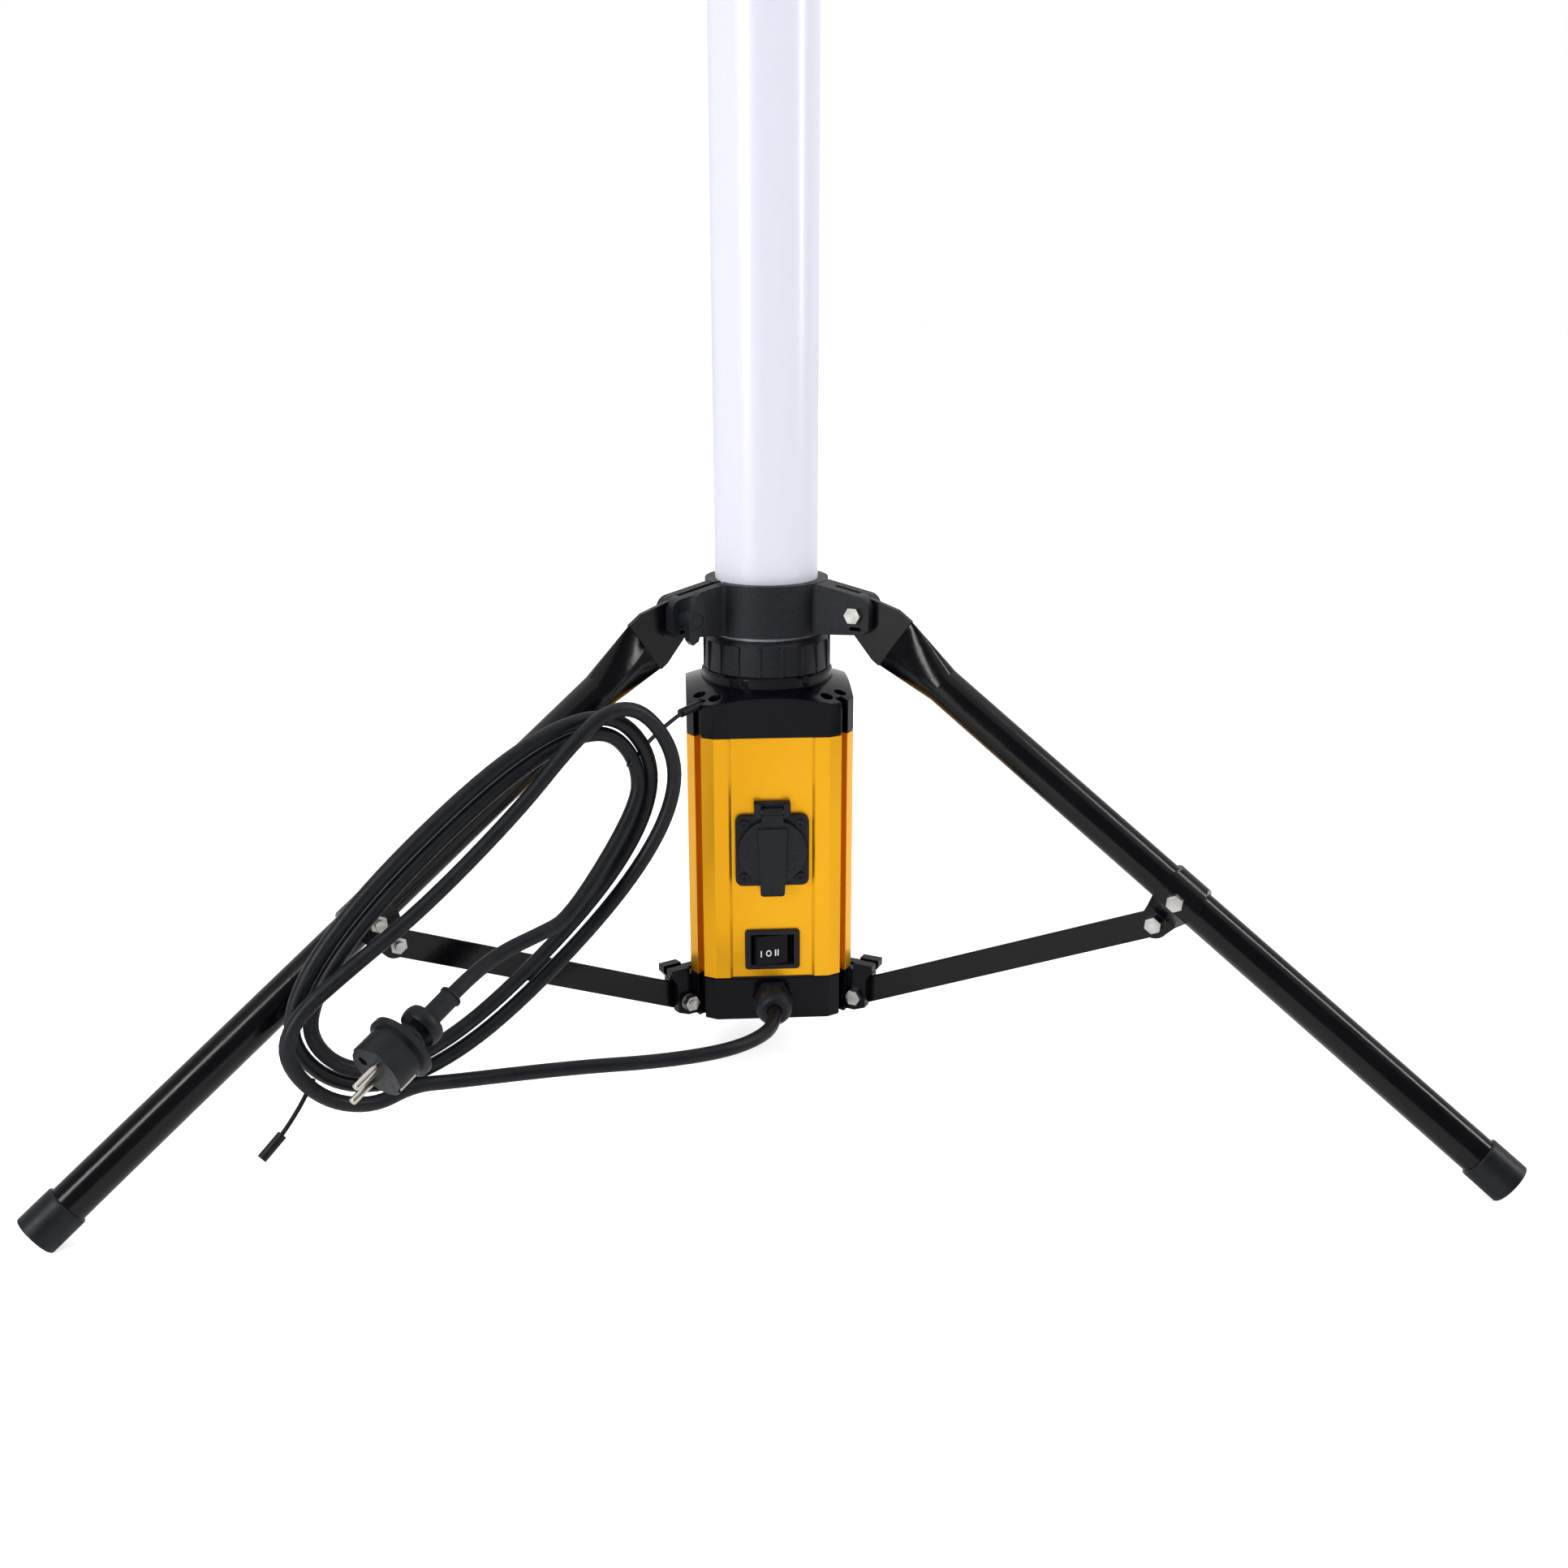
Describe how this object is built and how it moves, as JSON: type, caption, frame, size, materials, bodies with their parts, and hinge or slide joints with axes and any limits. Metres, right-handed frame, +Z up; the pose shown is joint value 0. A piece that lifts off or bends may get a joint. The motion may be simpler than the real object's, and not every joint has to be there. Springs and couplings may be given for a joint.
{
  "type": "tubular work light on a folding tripod",
  "caption": "Opal tube work light on a folding tripod, with a yellow housing, a lidded mains socket, a rocker switch and a hank of rubber cable.",
  "frame": {"origin": "on the floor, under the middle of the whole light without its cord", "axes": "+Z up along the lamp tube, -Y the way the socket faces, +X to the right seen from the front"},
  "size_m": [0.8994, 0.7878, 1.503],
  "materials": {
    "opal_polycarbonate": "satin opal",
    "black_plastic": "fine-grained",
    "gloss_black_plastic": "gloss",
    "black_enamel": "gloss enamel",
    "yellow_anodised": "satin anodised",
    "zinc_steel": "zinc plated",
    "black_rubber": "matt",
    "brass_contacts": "plain",
    "nickel_plate": "nickel plated",
    "bare_aluminium": "extruded",
    "white_board": "solder mask",
    "led_phosphor": "phosphor",
    "clear_grey_plastic": "moulded",
    "white_case": "moulded",
    "wire_insulation": "smooth"
  },
  "bodies": {
    "lamp": {"diffuser_tube": "opal_polycarbonate", "led_core": "bare_aluminium", "led_boards": "white_board", "led_packages": "led_phosphor", "core_spacers": "clear_grey_plastic", "top_cap": "black_plastic", "top_cap_screws": "zinc_steel", "top_cap_seal": "black_rubber", "tube_seat": "gloss_black_plastic", "tube_seal": "black_rubber", "housing_top_cap": "gloss_black_plastic", "housing_extrusion": "yellow_anodised", "housing_gaskets": "black_rubber", "housing_screws": "zinc_steel", "base_cap": "gloss_black_plastic", "collar_bolts": "zinc_steel", "socket_body": "black_plastic", "socket_contacts": "brass_contacts", "socket_screws": "black_plastic", "lid_pin": "zinc_steel", "switch_bezel": "black_plastic", "switch_terminals": "brass_contacts", "gland_body": "black_plastic", "gland_nut": "black_plastic", "led_driver": "white_case", "terminal_block": "clear_grey_plastic", "inner_wires": "wire_insulation", "power_cord": "black_rubber", "cord_hank": "black_rubber", "cord_tail": "black_rubber", "plug_body": "black_rubber", "plug_contacts": "nickel_plate", "cord_ties": "black_rubber"},
    "lock_ring": {"lock_ring": "black_plastic"},
    "hub": {"tripod_hub": "black_plastic", "hub_bolts": "zinc_steel"},
    "knob": {"clamp_knob": "black_plastic", "knob_cap": "black_plastic"},
    "lid": {"socket_lid": "black_plastic"},
    "rocker": {"switch_rocker": "gloss_black_plastic"},
    "leg_left": {"leg_tube_left": "black_enamel", "leg_foot_left": "black_rubber", "leg_bracket_left": "black_enamel", "bracket_bolts_left": "zinc_steel"},
    "brace_left": {"brace_left": "black_enamel"},
    "leg_right": {"leg_tube_right": "black_enamel", "leg_foot_right": "black_rubber", "leg_bracket_right": "black_enamel", "bracket_bolts_right": "zinc_steel"},
    "brace_right": {"brace_right": "black_enamel"},
    "leg_rear": {"leg_tube_rear": "black_enamel", "leg_foot_rear": "black_rubber", "leg_bracket_rear": "black_enamel", "bracket_bolts_rear": "zinc_steel"},
    "brace_rear": {"brace_rear": "black_enamel"}
  },
  "joints": [
    {"name": "hub_slide", "type": "slide", "parent": "lamp", "child": "hub", "axis": [0, 0, 1], "range_m": [0, 0.2276]},
    {"name": "leg_left_fold", "type": "hinge", "parent": "hub", "child": "leg_left", "pos_m": [-0.06062, -0.15968, 0.326], "axis": [0.5, -0.866, 0], "range_deg": [0, 41.71]},
    {"name": "brace_left_fold", "type": "hinge", "parent": "leg_left", "child": "brace_left", "pos_m": [-0.24283, -0.26488, 0.14165], "axis": [-0.5, 0.866, 0], "range_deg": [0, 100.42]},
    {"name": "leg_right_fold", "type": "hinge", "parent": "hub", "child": "leg_right", "pos_m": [0.06062, -0.15968, 0.326], "axis": [0.5, 0.866, 0], "range_deg": [0, 41.71]},
    {"name": "brace_right_fold", "type": "hinge", "parent": "leg_right", "child": "brace_right", "pos_m": [0.24283, -0.26488, 0.14165], "axis": [-0.5, -0.866, 0], "range_deg": [0, 100.42]},
    {"name": "leg_rear_fold", "type": "hinge", "parent": "hub", "child": "leg_rear", "pos_m": [0, -0.05468, 0.326], "axis": [-1, 0, 0], "range_deg": [0, 41.71]},
    {"name": "brace_rear_fold", "type": "hinge", "parent": "leg_rear", "child": "brace_rear", "pos_m": [0, 0.15572, 0.14165], "axis": [1, 0, 0], "range_deg": [0, 100.42]},
    {"name": "knob_turn", "type": "hinge", "parent": "hub", "child": "knob", "pos_m": [-0.06062, -0.15968, 0.326], "axis": [0.5, -0.866, 0], "continuous": true},
    {"name": "lock_ring_turn", "type": "hinge", "parent": "lamp", "child": "lock_ring", "pos_m": [0, -0.12468, 0.295], "axis": [0, 0, 1], "continuous": true},
    {"name": "lid_open", "type": "hinge", "parent": "lamp", "child": "lid", "pos_m": [0, -0.18608, 0.1962], "axis": [-1, 0, 0], "range_deg": [0, 110], "stiffness_Nm_per_rad": 0.01, "springref_deg": -17.19},
    {"name": "rocker_press", "type": "hinge", "parent": "lamp", "child": "rocker", "pos_m": [0, -0.17518, 0.0946], "axis": [0, 0, -1], "range_deg": [0, 20]}
  ],
  "couplings": [
    {"joint": "leg_left_fold", "follows": "hub_slide", "rad_per_m": 3.1982},
    {"joint": "brace_left_fold", "follows": "hub_slide", "rad_per_m": 7.7009},
    {"joint": "leg_right_fold", "follows": "hub_slide", "rad_per_m": 3.1982},
    {"joint": "brace_right_fold", "follows": "hub_slide", "rad_per_m": 7.7009},
    {"joint": "leg_rear_fold", "follows": "hub_slide", "rad_per_m": 3.1982},
    {"joint": "brace_rear_fold", "follows": "hub_slide", "rad_per_m": 7.7009}
  ]
}
